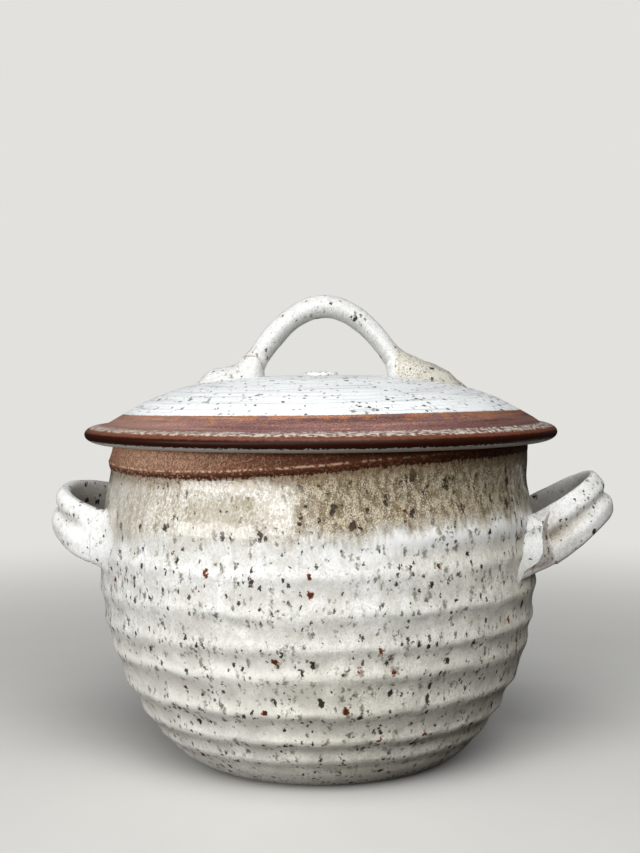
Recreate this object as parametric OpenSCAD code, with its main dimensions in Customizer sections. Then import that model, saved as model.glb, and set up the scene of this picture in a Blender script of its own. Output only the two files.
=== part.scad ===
// Lidded stoneware casserole: a thrown pot with two pulled side handles, and a loose domed lid
// with a pulled arch handle. Millimetres, Z up, table at Z = 0, side handles along X.

/* [Pot] */
// Height of the rim land above the table
pot_h = 154.5; // [120:0.5:190]
// Radius of the flat base
base_r = 58; // [45:0.5:75]
// Outside radius of the wall at the rim
rim_r = 101; // [80:0.5:125]
// How far the belly swells past the rim
belly_swell = 6; // [2:0.5:15]
// Height of the belly above the table
belly_z = 95; // [70:0.5:110]
// Wall thickness
wall = 6.5; // [4:0.1:10]
// Floor thickness
floor_t = 8; // [5:0.5:12]
// Height of the thickened collar under the rim
collar_h = 11; // [6:0.5:18]
// How proud the collar stands of the wall
collar_proud = 0.9; // [0.3:0.1:2]
// Depth of the finger grooves near the foot
groove_low = 1.4; // [0:0.1:2.5]
// Depth of the finger grooves near the shoulder
groove_high = 0.6; // [0:0.1:2]

/* [Lid] */
// How far the brim reaches past the rim collar
brim_overhang = 13.4; // [6:0.1:20]
// Thickness of the brim at its lip
brim_t = 8.5; // [5:0.5:12]
// Length of the rounded nose at the brim's edge
brim_nose = 8; // [4:0.5:12]
// Height of the dome above the seat
lid_rise = 32; // [20:0.5:50]
// Distance from the brim edge in to the shoulder of the dome
shoulder_in = 27.4; // [18:0.1:40]
// How far the shoulder lies below the top of the dome
shoulder_drop = 12.5; // [8:0.5:18]
// Thickness of the dome
lid_t = 7; // [5:0.5:10]
// Depth of the locating ring under the lid
ring_h = 11; // [6:0.5:18]
// Thickness of the locating ring
ring_t = 5.8; // [4:0.1:9]
// Clearance between the locating ring and the mouth of the pot
ring_gap = 1.7; // [0.8:0.1:4]
// Radius of the clay button on top of the lid
button_r = 10; // [6:0.5:16]
// Height of the clay button
button_h = 1.6; // [0.8:0.1:4]

/* [Lid handle] */
// Half the distance between the two ends of the arch
arch_half_span = 35; // [26:0.5:48]
// Height of the arch centre line over the top of the dome
arch_clear = 33.5; // [24:0.5:48]
// Height of each end of the arch over the lid
arch_foot_lift = 6.5; // [5:0.5:12]
// Distance of the arch from the middle of the lid, along X
arch_shift = 2.8; // [0:0.1:6]
// Thickness of the arch, seen from the front
arch_t = 11.4; // [8:0.1:16]
// Width of the arch, front to back
arch_w = 14; // [9:0.5:20]
// Length of the clay pad under each end of the arch
arch_pad_l = 31; // [20:0.5:38]
// Width of the clay pad under each end of the arch
arch_pad_w = 21; // [17:0.5:28]

/* [Side handles] */
// Half the distance between the two roots of a side handle
lug_half_span = 30; // [22:0.5:40]
// Depth of the right-hand roots below the rim
right_drop = 49; // [38:0.5:62]
// Upward slope of the right-hand loop, in degrees
right_slope = 32; // [0:1:45]
// Length of the right-hand loop along its slope
right_reach = 42.5; // [30:0.5:54]
// Backward lean of the right-hand strap at its tip, in degrees
right_strap_tilt = 23; // [0:1:35]
// How far the right-hand groove runs above the middle of the strap
right_groove_rise = 3; // [-4:0.1:4]
// Depth of the left-hand roots below the rim
left_drop = 41.5; // [36:0.5:60]
// Upward slope of the left-hand loop, in degrees
left_slope = 20; // [0:1:45]
// Length of the left-hand loop along its slope
left_reach = 27; // [26:0.5:50]
// Sideways roll of the left-hand loop, front root down, in degrees
left_roll = 7; // [0:0.5:15]
// Backward lean of the left-hand strap at its tip, in degrees
left_strap_tilt = 8; // [0:1:35]
// How far the left-hand groove runs above the middle of the strap
left_groove_rise = 1.3; // [-4:0.1:4]
// Width of the strap
strap_w = 23; // [16:0.5:30]
// Thickness of the strap
strap_t = 10; // [7:0.1:14]
// Depth of the groove along the outside of the strap
strap_groove = 2.4; // [0:0.1:3]
// Length of the clay pads, from the end of the strap into the wall
lug_pad_l = 24; // [18:0.5:32]
// How much wider the clay pads grow towards the wall
lug_pad_flare_ratio = 1.35; // [1.1:0.05:1.8]

/* [Hidden] */
$fn = 180;
belly_r = rim_r + belly_swell;
fullness = 0.65;
neck_ease = 1.2;
rim_round = 1.6;
inner_corner = 4;
collar_z = pot_h - collar_h;
ring_marks = [0.05, 0.1, 0.17, 0.26, 0.37, 0.455, 0.555, 0.665, 0.75];
ring_z = [for (m = ring_marks) m * pot_h];
groove_skew = 0.65;
ring_steps = 8;
collar_steps = 5;
inner_steps = 36;
arc_steps = 5;
lid_r = rim_r + collar_proud + brim_overhang;
lip_r = lid_r - brim_nose;
shoulder_r = lid_r - shoulder_in;
apex_z = pot_h + lid_rise;
dome_power = 3.2;
ring_out = rim_r - wall - ring_gap;
ring_in = ring_out - ring_t;
ring_round = 1.8;
hollow_lean = 3.5;
dome_steps = 22;
brim_steps = 12;
arch_sides = 20;
arch_rings = 28;
pad_rings = 9;
arch_pad_out = arch_pad_l / 2 - arch_t / 2;
arch_pad_sink = 0.7 * lid_t;
arch_end_z = min(lid_top(arch_half_span + arch_shift), lid_top(arch_half_span)) + arch_foot_lift;
arch_drop = apex_z + arch_clear - arch_end_z;
lug_sides = 24;
lug_rings = 28;
lug_end_angle = 77;
strap_root_swell = 0.14;
strap_groove_w = 0.13 * strap_w;
lug_pad_side_ratio = 1.25;
pad_ease = 1.4;

// Pot profile

function neck_r(z) =
    belly_r - belly_swell * pow((z - belly_z) / (pot_h - belly_z), neck_ease);

function bowl_r(z, z0, r0, r1) =
    r0 + (r1 - r0) * pow(1 - pow(1 - (z - z0) / (belly_z - z0), 2), fullness);

// Smooth outside radius of the wall at height z
function wall_r(z) = z <= belly_z ? bowl_r(z, 0, base_r, belly_r) : neck_r(z);

// Inside radius of the wall at height z
function inner_r(z) =
    z <= belly_z ? bowl_r(z, floor_t, base_r - inner_corner, belly_r - wall) : neck_r(z) - wall;

function rings_below(z) = len([for (c = ring_z) if (c <= z) c]);

function groove_depth(z) = groove_low + (groove_high - groove_low) * z / ring_z[len(ring_z) - 1];

// Depth of the finger groove at height z, deepest close under the crest above it,
// and nothing on the crests and outside the ringed zone
function groove(z) =
    let (i = rings_below(z) - 1)
    i < 0 || i > len(ring_z) - 2 ? 0
    : groove_depth(z) * sin(180 * pow((ring_z[i + 1] - z) / (ring_z[i + 1] - ring_z[i]), groove_skew));

function outer_heights() =
    let (marks = concat([0], ring_z, [collar_z]))
    [for (i = [0 : len(marks) - 2]) for (k = [0 : ring_steps - 1])
        marks[i] + (marks[i + 1] - marks[i]) * k / ring_steps];

function collar_points() =
    [for (k = [0 : collar_steps])
        let (z = collar_z + (collar_h - rim_round) * k / collar_steps)
        [wall_r(z) + collar_proud * pow(k / collar_steps, 0.4), z]];

function arc(cx, cz, r, a0, a1) =
    [for (k = [1 : arc_steps])
        let (a = a0 + (a1 - a0) * k / arc_steps) [cx + r * cos(a), cz + r * sin(a)]];

function rim_points() =
    concat(
        arc(wall_r(pot_h - rim_round) + collar_proud - rim_round, pot_h - rim_round, rim_round, 0, 90),
        [[rim_r - wall + rim_round, pot_h]],
        arc(rim_r - wall + rim_round, pot_h - rim_round, rim_round, 90, 180));

function outer_points() =
    concat([for (z = outer_heights()) [wall_r(z) - groove(z), z]], collar_points());

function inner_points() =
    [for (k = [1 : inner_steps])
        let (z = pot_h - rim_round + (floor_t - pot_h + rim_round) * k / inner_steps)
        [inner_r(z), z]];

// Lid profile

function brim_line(r) =
    let (t = (r - shoulder_r) / (lip_r - shoulder_r))
    apex_z - shoulder_drop + (pot_h + brim_t - apex_z + shoulder_drop) * t;

// Height of the lid's top face at radius r
function lid_top(r) =
    r <= shoulder_r ? apex_z - shoulder_drop * pow(r / shoulder_r, dome_power) : brim_line(r);

function lid_radii() =
    concat(
        [0],
        [for (k = [0 : dome_steps]) button_r + (shoulder_r - button_r) * k / dome_steps],
        [for (k = [1 : brim_steps]) shoulder_r + (lip_r - shoulder_r) * k / brim_steps]);

function lid_top_points() = [for (r = lid_radii()) [r, lid_top(r)]];

function nose_points() =
    [for (k = [1 : 2 * arc_steps])
        let (a = 90 - 180 * k / (2 * arc_steps))
        [lip_r + brim_nose * cos(a), pot_h + brim_t / 2 + brim_t / 2 * sin(a)]];

function hollow_points() =
    [for (k = [0 : dome_steps])
        let (r = (ring_in - hollow_lean) * (1 - k / dome_steps)) [r, lid_top(r) - lid_t]];

// Sweeps

function unit(v) = v / norm(v);
function reverse(v) = [for (i = [len(v) - 1 : -1 : 0]) v[i]];
function power(b, e) = b <= 0 ? 0 : pow(b, e);

// Solid through a list of rings that all have the same number of points
module loft(rings) {
    m = len(rings[0]);
    n = len(rings);
    points = [for (r = rings) for (p = r) p];
    sides = [for (i = [0 : n - 2]) for (j = [0 : m - 1])
        let (a = i * m + j, b = i * m + (j + 1) % m)
        for (f = [[a, a + m, b + m], [a, b + m, b]]) f];
    caps = [[for (j = [0 : m - 1]) j], [for (j = [m - 1 : -1 : 0]) (n - 1) * m + j]];
    polyhedron(points = points, faces = concat(sides, caps), convexity = 6);
}

// Side handle loop: a half ellipse in a plane that slopes up from the wall.
// A loop lists its root height, slope, reach, roll, strap lean and groove rise.

right_loop = [pot_h - right_drop, right_slope, right_reach, 0, right_strap_tilt, right_groove_rise];
left_loop = [pot_h - left_drop, left_slope, left_reach, left_roll, left_strap_tilt, left_groove_rise];

function lug_start(loop) =
    let (r = wall_r(loop[0])) [sqrt(r * r - lug_half_span * lug_half_span), 0, loop[0]];
function lug_out(loop) = loop[2] * [cos(loop[1]), 0, sin(loop[1])];
function lug_across(loop) = lug_half_span * [0, 1, tan(loop[3])];

function lug_point(loop, t) = lug_start(loop) + lug_out(loop) * cos(t) + lug_across(loop) * sin(t);
function lug_dir(loop, t) = unit(lug_across(loop) * cos(t) - lug_out(loop) * sin(t));

// Strap section: two rolls with a groove between them outside, flatter inside
function strap_point(a, swell, rise) =
    let (w = strap_w / 2 * sin(a), c = cos(a))
    let (g = strap_groove * exp(-pow((w - rise) / strap_groove_w, 2)) * power(c, 0.5))
    [swell * (c > 0 ? strap_t / 2 * power(c, 0.6) - g : -0.9 * strap_t / 2 * power(-c, 0.6)), swell * w];

// One section of the strap, square to its run d and leaning back
function lug_ring(loop, p, d, swell, side, tall) =
    let (n = unit(cross(d, [-sin(loop[4]), 0, cos(loop[4])])), w = cross(n, d))
    [for (j = [0 : lug_sides - 1])
        let (q = strap_point(360 * j / lug_sides, swell, loop[5]))
        p + n * q[0] * side + w * q[1] * tall];

function lug_swell(t) = 1 + strap_root_swell * pow(abs(t) / lug_end_angle, 2);

function lug_rings_of(loop) =
    [for (i = [0 : lug_rings])
        let (t = lug_end_angle * (2 * i / lug_rings - 1))
        lug_ring(loop, lug_point(loop, t), lug_dir(loop, t), lug_swell(t), 1, 1)];

// Clay pad that carries one end of the strap on, spreading, into the wall
function lug_pad_rings(loop, end) =
    let (t = end * lug_end_angle, p = lug_point(loop, t), d = lug_dir(loop, t))
    [for (i = [0 : pad_rings])
        let (s = i / pad_rings, e = pow(s, pad_ease))
        lug_ring(loop, p + d * end * lug_pad_l * s, d, lug_swell(t),
            1 + (lug_pad_side_ratio * lug_pad_flare_ratio - 1) * e, 1 + (lug_pad_flare_ratio - 1) * e)];

// Lid arch: a parabola, with q from -1 at its left end to 1 at its right end

function arch_point(q) =
    [arch_shift + arch_half_span * q, 0, apex_z + arch_clear - arch_drop * q * q];
function arch_dir(q) = unit([arch_half_span, 0, -2 * arch_drop * q]);

function arch_ring(p, n, h1, h2) =
    [for (j = [0 : arch_sides - 1])
        let (a = 360 * j / arch_sides) p + n * h1 * cos(a) + [0, h2 * sin(a), 0]];

function arch_rings_of() =
    [for (i = [0 : arch_rings])
        let (q = 2 * i / arch_rings - 1)
        arch_ring(arch_point(q), cross(arch_dir(q), [0, 1, 0]), arch_t / 2, arch_w / 2)];

// Clay pad that spreads outward from one end of the arch over the lid
function arch_pad_rings(end) =
    let (p = arch_point(end), n = cross(arch_dir(end), [0, 1, 0]))
    let (x = p[0] + end * arch_pad_out)
    let (foot = [x, 0, lid_top(abs(x)) - arch_pad_sink])
    [for (i = [0 : pad_rings])
        let (s = i / pad_rings, e = pow(sin(90 * s), 0.8))
        arch_ring(
            p + [(foot[0] - p[0]) * e, 0, (foot[2] - p[2]) * s],
            unit(n * (1 - e) + [end, 0, 0] * e),
            arch_t / 2 + (arch_pad_l - arch_t) / 2 * e,
            arch_w / 2 + (arch_pad_w - arch_w) / 2 * e)];

// Solids that the pads are trimmed against

module pot_envelope() {
    rotate_extrude() polygon(concat([[0, 0]], outer_points(), [[0, pot_h - rim_round]]));
}

module lid_envelope() {
    rotate_extrude() polygon(concat(lid_top_points(), [[lip_r, pot_h], [0, pot_h]]));
}

// Sub-parts

module pot() {
    color("Linen") rotate_extrude()
        polygon(concat([[0, 0]], outer_points(), rim_points(), inner_points(), [[0, floor_t]]));
}

module right_handle() {
    color("Wheat") loft(lug_rings_of(right_loop));
}

module right_handle_front_pad() {
    color("Tan") difference() {
        loft(reverse(lug_pad_rings(right_loop, -1)));
        pot_envelope();
    }
}

module right_handle_back_pad() {
    color("Tan") difference() {
        loft(lug_pad_rings(right_loop, 1));
        pot_envelope();
    }
}

module left_handle() {
    color("Wheat") mirror([1, 0, 0]) loft(lug_rings_of(left_loop));
}

module left_handle_front_pad() {
    color("Tan") difference() {
        mirror([1, 0, 0]) loft(reverse(lug_pad_rings(left_loop, -1)));
        pot_envelope();
    }
}

module left_handle_back_pad() {
    color("Tan") difference() {
        mirror([1, 0, 0]) loft(lug_pad_rings(left_loop, 1));
        pot_envelope();
    }
}

module lid() {
    color("White") rotate_extrude()
        polygon(concat(lid_top_points(), nose_points(), [[ring_in, pot_h]], hollow_points()));
}

module lid_locating_ring() {
    color("BurlyWood") rotate_extrude()
        polygon(concat(
            [[ring_in, pot_h], [ring_out, pot_h]],
            arc(ring_out - ring_round, pot_h - ring_h + ring_round, ring_round, 0, -90),
            arc(ring_in + ring_round, pot_h - ring_h + ring_round, ring_round, -90, -180)));
}

module lid_handle() {
    color("Wheat") loft(arch_rings_of());
}

module lid_handle_left_pad() {
    color("Tan") difference() {
        loft(reverse(arch_pad_rings(-1)));
        lid_envelope();
    }
}

module lid_handle_right_pad() {
    color("Tan") difference() {
        loft(arch_pad_rings(1));
        lid_envelope();
    }
}

module lid_button() {
    color("Wheat") rotate_extrude()
        polygon(concat(
            [[0, apex_z], [button_r, lid_top(button_r)]],
            [for (k = [1 : arc_steps])
                let (a = 90 * k / arc_steps)
                [button_r * pow(cos(a), 0.7), apex_z + button_h * sin(a)]]));
}

pot();
right_handle();
right_handle_front_pad();
right_handle_back_pad();
left_handle();
left_handle_front_pad();
left_handle_back_pad();
lid();
lid_locating_ring();
lid_handle();
lid_handle_left_pad();
lid_handle_right_pad();
lid_button();
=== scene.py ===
# %% [markdown]
# # A lidded stoneware casserole
#
# A pot thrown on the wheel, two pulled strap handles on its sides, and a loose domed lid with a pulled
# arch for a handle. The solids in the frame give the overall sizes, and the lengths written here fit them.
# Each solid gets the surface that clay and glaze really have: finger rings, turning lines, smeared pads,
# runs, specks and an iron-brown rim. Lengths are in millimetres until a mesh is written, because that is
# how a potter measures.

# %% Load the measured solids
import math
from collections import namedtuple

import bpy
import numpy as np
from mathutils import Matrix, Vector


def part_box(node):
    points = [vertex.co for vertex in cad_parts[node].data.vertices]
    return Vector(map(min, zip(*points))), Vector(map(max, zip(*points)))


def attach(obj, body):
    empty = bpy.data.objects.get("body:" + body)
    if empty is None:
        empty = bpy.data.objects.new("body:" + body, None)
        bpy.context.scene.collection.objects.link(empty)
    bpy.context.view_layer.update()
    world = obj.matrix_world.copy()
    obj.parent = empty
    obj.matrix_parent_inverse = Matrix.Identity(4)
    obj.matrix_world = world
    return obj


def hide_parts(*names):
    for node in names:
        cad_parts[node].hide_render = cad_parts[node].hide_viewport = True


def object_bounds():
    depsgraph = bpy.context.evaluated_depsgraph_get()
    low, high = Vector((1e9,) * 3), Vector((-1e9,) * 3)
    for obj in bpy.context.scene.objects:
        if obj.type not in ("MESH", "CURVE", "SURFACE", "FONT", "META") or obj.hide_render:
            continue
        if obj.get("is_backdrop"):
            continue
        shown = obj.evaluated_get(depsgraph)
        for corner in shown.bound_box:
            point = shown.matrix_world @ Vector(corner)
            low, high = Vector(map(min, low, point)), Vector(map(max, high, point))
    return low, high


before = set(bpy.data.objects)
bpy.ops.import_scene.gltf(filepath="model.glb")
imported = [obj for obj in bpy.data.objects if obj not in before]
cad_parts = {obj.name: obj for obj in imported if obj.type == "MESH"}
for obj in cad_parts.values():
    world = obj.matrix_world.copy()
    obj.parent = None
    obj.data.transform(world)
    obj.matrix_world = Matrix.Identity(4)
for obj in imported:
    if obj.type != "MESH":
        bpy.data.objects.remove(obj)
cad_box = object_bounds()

MM = 0.001
print("solids:", ", ".join(sorted(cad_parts)))

# %% [markdown]
# ## The camera
#
# The picture was taken from just above the height of the lid, nearly seven pot-radii away, so the rim and
# the finger rings show as flat curves. The focal length is given in pixels of the 640 by 853 frame and
# turned into a lens for a 36 mm sensor. Fitting the sensor to the frame's height keeps that sum short.

# %% Place the camera
FRAME_H = 853
FOCAL_PX = 1400
EYE_PLACE = (0.4, -689, 190.7)
LOOK_DOWN = math.radians(2.46)
EYE_ROLL = math.radians(0.37)
SENSOR = 36

eye = bpy.data.cameras.new("eye")
eye.sensor_fit = "VERTICAL"
eye.sensor_height = SENSOR
eye.lens = SENSOR * FOCAL_PX / FRAME_H
eye_stand = bpy.data.objects.new("eye", eye)
eye_stand.rotation_euler = (math.pi / 2 - LOOK_DOWN, EYE_ROLL, 0)
eye_stand.location = [c * MM for c in EYE_PLACE]
bpy.context.scene.collection.objects.link(eye_stand)
bpy.context.scene.camera = eye_stand
print(f"lens {eye.lens:.1f} mm")

# %% [markdown]
# ## Skins
#
# Almost everything on a thrown pot is a stack of closed rings: a turned wall is rings round an axis, and
# a pulled handle is rings along a path. So one helper makes every mesh. It takes rings of equal length,
# joins each to the next with quads, and closes the two ends with fans, which leaves no hole and no stray
# face. The sum of all faces, taken as a volume, is negative if they look inward, and then they are turned
# round. Numbers that belong to single points, such as how deep a groove is there, go along as attributes,
# and the glaze reads them later.

# %% One helper for every mesh
def skin(name, rings, sharp=180, joined=False, **marks):
    """Mesh object through rings (count, points, 3); marks are numbers per ring point."""
    count, points, _ = rings.shape
    corner = np.arange(count * points).reshape(count, points)
    below = corner if joined else corner[:-1]
    above = np.roll(corner, -1, 0) if joined else corner[1:]
    quads = np.stack([below, np.roll(below, -1, 1), np.roll(above, -1, 1), above], -1).reshape(-1, 4)
    faces = quads.tolist()
    verts = rings.reshape(-1, 3)
    values = {key: np.asarray(value, float).reshape(-1) for key, value in marks.items()}
    a, b, c, d = (verts[quads[:, k]] - verts.mean(0) for k in range(4))
    looks_in = (np.cross(c - a, d - b) * (a + b + c + d)).sum() < 0
    if not joined:
        hubs = [rings[0].mean(0), rings[-1].mean(0)]
        verts = np.vstack([verts, hubs])
        first, last = count * points, count * points + 1
        faces += [[first, b, a] for a, b in zip(corner[0], np.roll(corner[0], -1))]
        faces += [[last, a, b] for a, b in zip(corner[-1], np.roll(corner[-1], -1))]
        for key, value in values.items():
            ends = [value[:points].mean(), value[-points:].mean()]
            values[key] = np.concatenate([value, ends])
    if looks_in:
        faces = [face[::-1] for face in faces]
    mesh = bpy.data.meshes.new(name)
    mesh.from_pydata((verts * MM).tolist(), [], faces)
    for key, value in values.items():
        layer = mesh.attributes.new(key, "FLOAT", "POINT")
        layer.data.foreach_set("value", value.astype(np.float32))
    mesh.validate()
    mesh.shade_smooth()
    if sharp < 180:
        mesh.set_sharp_from_angle(angle=math.radians(sharp))
    made = bpy.data.objects.new(name, mesh)
    bpy.context.scene.collection.objects.link(made)
    print(f"{name}: {len(mesh.vertices)} points")
    return made


def ease(value, low, high):
    """0 below low, 1 above high and a smooth step between."""
    share = np.clip((value - low) / (high - low), 0, 1)
    return share * share * (3 - 2 * share)


def bump(value, middle, width):
    """A soft hill of height 1."""
    return np.exp(-(((value - middle) / width) ** 2))


print("a hill one width away from its middle:", bump(1, 0, 1).round(2))

# %% [markdown]
# A hand leaves slow, uneven marks, not noise. A few sine waves in random but fixed directions give that:
# `lumps` is a field in space for clay that was squeezed, and `drift` goes round a turned form and meets
# itself after a full turn. Both use a seeded generator, so every run gives the same pot.

# %% The unevenness of hand work
LUMP_WAVES = 14
LUMP_GAIN = 2.2


def lumps(points, size, seed):
    """Smooth field between about -1 and 1, with hills about size apart."""
    dice = np.random.default_rng(seed)
    ways = dice.normal(size=(LUMP_WAVES, 3))
    ways /= np.linalg.norm(ways, axis=1, keepdims=True)
    ways *= 2 * math.pi / (size * dice.uniform(0.7, 1.6, (LUMP_WAVES, 1)))
    shifts = dice.uniform(0, 2 * math.pi, LUMP_WAVES)
    return np.sin(points @ ways.T + shifts).mean(-1) * LUMP_GAIN


def drift(turn, seed, slowest=1, fastest=5):
    """Smooth wave round a full turn, between about -1 and 1."""
    dice = np.random.default_rng(seed)
    waves = range(slowest, fastest + 1)
    parts = [np.sin(k * turn + dice.uniform(0, 2 * math.pi)) / math.sqrt(k) for k in waves]
    return sum(parts) / math.sqrt(len(parts))


print("unevenness at one spot:", lumps(np.array([[1.0, 2.0, 3.0]]), 20, 1).round(3))

# %% [markdown]
# ## The pot
#
# The wall is a bowl that swells to a belly and draws in to the rim. The thrower's fingers left rings: low
# on the pot each has a soft upper side and a sharp drop just under its crest, and higher up they are gentle
# waves. They wander a little in height and depth. At the top a thick band of iron glaze makes a rolled
# collar, lower on the left than on the right.

# %% The pot's outline
pot_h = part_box("pot")[1].z / MM
base_r = 58
rim_r = 101
belly_swell = 6
belly_r = rim_r + belly_swell
belly_z = 95
wall = 6.5
floor_t = 8
inner_corner = 4
fullness = 0.65
neck_ease = 1.2
ring_z = np.array([0.05, 0.1, 0.17, 0.26, 0.37, 0.455, 0.555, 0.665, 0.765]) * pot_h
groove_low = 2.8
groove_high = 0.9
skew_low, skew_high = 0.8, 0.95
skew_from, skew_to = 55, 95
glaze_soft = 1.6
glaze_spread = [(-1, 0.27), (0, 0.46), (1, 0.27)]


def neck_r(z):
    share = np.clip((z - belly_z) / (pot_h - belly_z), 0, None)
    return belly_r - belly_swell * share ** neck_ease


def bowl_r(z, z0, r0, r1):
    share = np.clip((z - z0) / (belly_z - z0), 0, 1)
    return r0 + (r1 - r0) * (1 - (1 - share) ** 2) ** fullness


def wall_r(z):
    return np.where(z <= belly_z, bowl_r(z, 0, base_r, belly_r), neck_r(z))


def inner_r(z):
    bowl = bowl_r(z, floor_t, base_r - inner_corner, belly_r - wall)
    return np.where(z <= belly_z, bowl, neck_r(z) - wall)


def finger_mark(z):
    """Depth of the finger groove as a share of the deepest, 0 on the crests."""
    above = np.clip(np.searchsorted(ring_z, z, side="right"), 1, len(ring_z) - 1)
    high, low = ring_z[above], ring_z[above - 1]
    share = np.clip((high - z) / (high - low), 0, 1)
    ringed = (z > ring_z[0]) & (z < ring_z[-1])
    skew = skew_low + (skew_high - skew_low) * ease(z, skew_from, skew_to)
    return np.where(ringed, np.sin(math.pi * share ** skew), 0)


def groove(z):
    """The same after glazing, which rounds all edges."""
    return sum(part * finger_mark(z + step * glaze_soft) for step, part in glaze_spread)


print("crests at", ring_z.round(1))

# %% [markdown]
# No thrown pot is quite round. This one's belly leans a little to the left of its foot, the wall draws in
# to a waist just under the collar, with a soft ledge below it on the right, and the collar is a fat roll
# on the left that fades out on the right. Each of these is a function of its own, which says how far it
# pushes the wall out at a height and a turn, and the outside is their sum. The whole lies a little inside
# the solid, so that no crest stands out of it.

# %% The finger rings
crest_proud = 0.2


def finger_rings(z, turn, spot):
    """How far the rings stand out, below 0 in a groove, and the share of a full groove there."""
    climb = 0.9 * drift(turn, 5, 1, 4) + 0.5 * drift(turn + z / 30, 6, 2, 6)
    climb += 0.9 * lumps(spot, 17, 7) + 0.4 * lumps(spot, 7, 12)
    share = groove(z + climb * ease(z, 4, 25))
    fade = (groove_low + (groove_high - groove_low) * z / ring_z[-1]) * ease(z, 2, 24)
    depth = fade * (1 + 0.25 * drift(turn + z / 17, 8, 1, 6) + 0.25 * lumps(spot, 24, 13))
    ringed = ease(z, ring_z[0] - 2, ring_z[0] + 4) * (1 - ease(z, ring_z[-1] - 4, ring_z[-1] + 12))
    return depth * (crest_proud * ringed - share), share


print("grooves", groove_low, "mm deep at the foot and", groove_high, "at the top")

# %% The collar's roll, and the outside of the wall
edge_low, edge_high = 142.0, 149.8
edge_from, edge_to = -75.0, 80.0
collar_proud = 0.9
collar_right = 0.45
bead_above = 3.4
bead_proud = 0.45
lean_foot, lean_belly = 0.7, -1.3
waist = 1.1
waist_z = 137
neck_in = 0.9
ledge = 0.75
ledge_z = 116
sunk = 0.2


def collar_edge(turn):
    climb = ease(rim_r * np.cos(turn), edge_from, edge_to)
    return edge_low + (edge_high - edge_low) * climb + 0.4 * drift(turn, 3, 2, 7)


def collar_roll(z, turn, left):
    """The thick iron glaze: a step at its lower edge and a bead above that."""
    above = z - collar_edge(turn)
    roll = collar_proud * ease(above, -0.8, 1.6) + bead_proud * bump(above, bead_above, 1.1)
    return (collar_right + (1 - collar_right) * left) * roll


def off_true(z, turn, left):
    """The belly's lean, the waist, the neck that draws in on the left and the ledge on the right."""
    lean = (lean_foot + (lean_belly - lean_foot) * np.minimum(z / belly_z, 1)) * (1 - ease(z, 130, 150))
    drawn_in = waist * bump(z, waist_z, 9) + neck_in * left * ease(z, 146, 152)
    shelf = ledge * bump(z, ledge_z, 4.5) * ease(np.cos(turn), 0.05, 0.5)
    return lean * np.cos(turn) - drawn_in + shelf


def outside_r(z, turn):
    """Radius of the pot's outside, and the share of a full groove there."""
    spot = np.stack([rim_r * np.cos(turn), rim_r * np.sin(turn), z], -1)
    left = ease(-np.cos(turn), -0.6, 0.6)
    rings, share = finger_rings(z, turn, spot)
    uneven = 0.22 * drift(turn + z / 60, 9, 2, 5) + 0.12 * lumps(spot, 14, 10) + 0.06 * lumps(spot, 5, 11)
    shape = collar_roll(z, turn, left) + off_true(z, turn, left) + uneven * ease(z, 3, 30) - sunk
    return wall_r(z) + rings + shape, share


print("belly radius on the right", outside_r(np.array([belly_z]), np.array([0.0]))[0].round(2))

# %% [markdown]
# The whole pot is one skin: from the middle of the base out, up the outside, over the rim, down the inside
# and back to the middle of the floor. Rows lie 0.6 mm apart on the outside, so the sharp drop under every
# crest is real geometry. The inside has its own faint rings.

# %% Up the outside of the pot
TURNS = 336
OUTER_ROWS = 248
turn = np.linspace(0, 2 * math.pi, TURNS, endpoint=False)
rim_round = 2.6
rim_top = pot_h - 0.15
foot_round = 1.2
base_hollow = 0.5
foot_line = [(9, 0.45), (5, 0.1), (3, 0), (1.2, 0), (0.2, 0.35)]


def turned(rows, turn=turn):
    """Rings of points from rows of (radius, height), each a number or one value per turn."""
    r = np.array([np.broadcast_to(row[0], turn.shape) for row in rows], float)
    z = np.array([np.broadcast_to(row[1], turn.shape) for row in rows], float)
    return np.stack([r * np.cos(turn), r * np.sin(turn), z], -1)


outer_z = np.linspace(foot_round, rim_top - rim_round, OUTER_ROWS)
rows = [(r, base_hollow) for r in (6, 20, 36)] + [(base_r - step, z) for step, z in foot_line]
relief = [0.0] * len(rows)
for z in outer_z:
    r, share = outside_r(np.full(TURNS, z), turn)
    rows.append((r, z))
    relief.append(share)
print(len(rows), "rows up to the rim,", round(outer_z[1] - outer_z[0], 2), "mm apart")

# %% Over the rim and down the inside
INNER_ROWS = 90
LIP_INSIDE = 5
lip_round = 2
floor_rows = (52, 44, 34, 22, 10)
inner_z = np.linspace(rim_top - lip_round, floor_t + 0.6, INNER_ROWS)
rim_arc = np.linspace(0, math.pi / 2, 9)[1:]
lip_arc = np.linspace(0, math.pi / 2, 7)

shoulder = rows[-1][0]
for a in rim_arc:
    rows.append((shoulder - rim_round * (1 - np.cos(a)), rim_top - rim_round * (1 - math.sin(a))))
mouth = inner_r(np.array(rim_top)) + lip_round
for a in lip_arc:
    rows.append((mouth - lip_round * math.sin(a), rim_top - lip_round * (1 - math.cos(a))))
first_inside = len(rows)
for z in inner_z:
    swirl = 0.3 * np.sin(2 * math.pi * z / 9 + turn) * ease(z, 14, 40) * (1 - ease(z, 130, 145))
    rows.append((inner_r(np.array(z)) + swirl, z))
rows += [(r, floor_t + 0.25 * math.cos(r / 4.0)) for r in floor_rows]

relief += [0.0] * (len(rows) - len(relief))
relief = np.array([np.broadcast_to(value, turn.shape) for value in relief])
inside = np.zeros(len(rows))
inside[first_inside - LIP_INSIDE:] = 1
inside = np.repeat(inside[:, None], TURNS, 1)
pot = skin("pot_body", turned(rows), relief=relief, inside=inside)

# %% [markdown]
# ## The lid
#
# The dome is nearly flat on top and bends over to a straight brim that ends in a long rounded nose, and the
# glaze breaks pale over the top of that. It is not quite true: its left side hangs lower than its right,
# and it sits a little to the right. Turning left fine lines all over the dome, so the rows there lie half
# a millimetre apart and rise and fall with a few waves in the radius.

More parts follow.
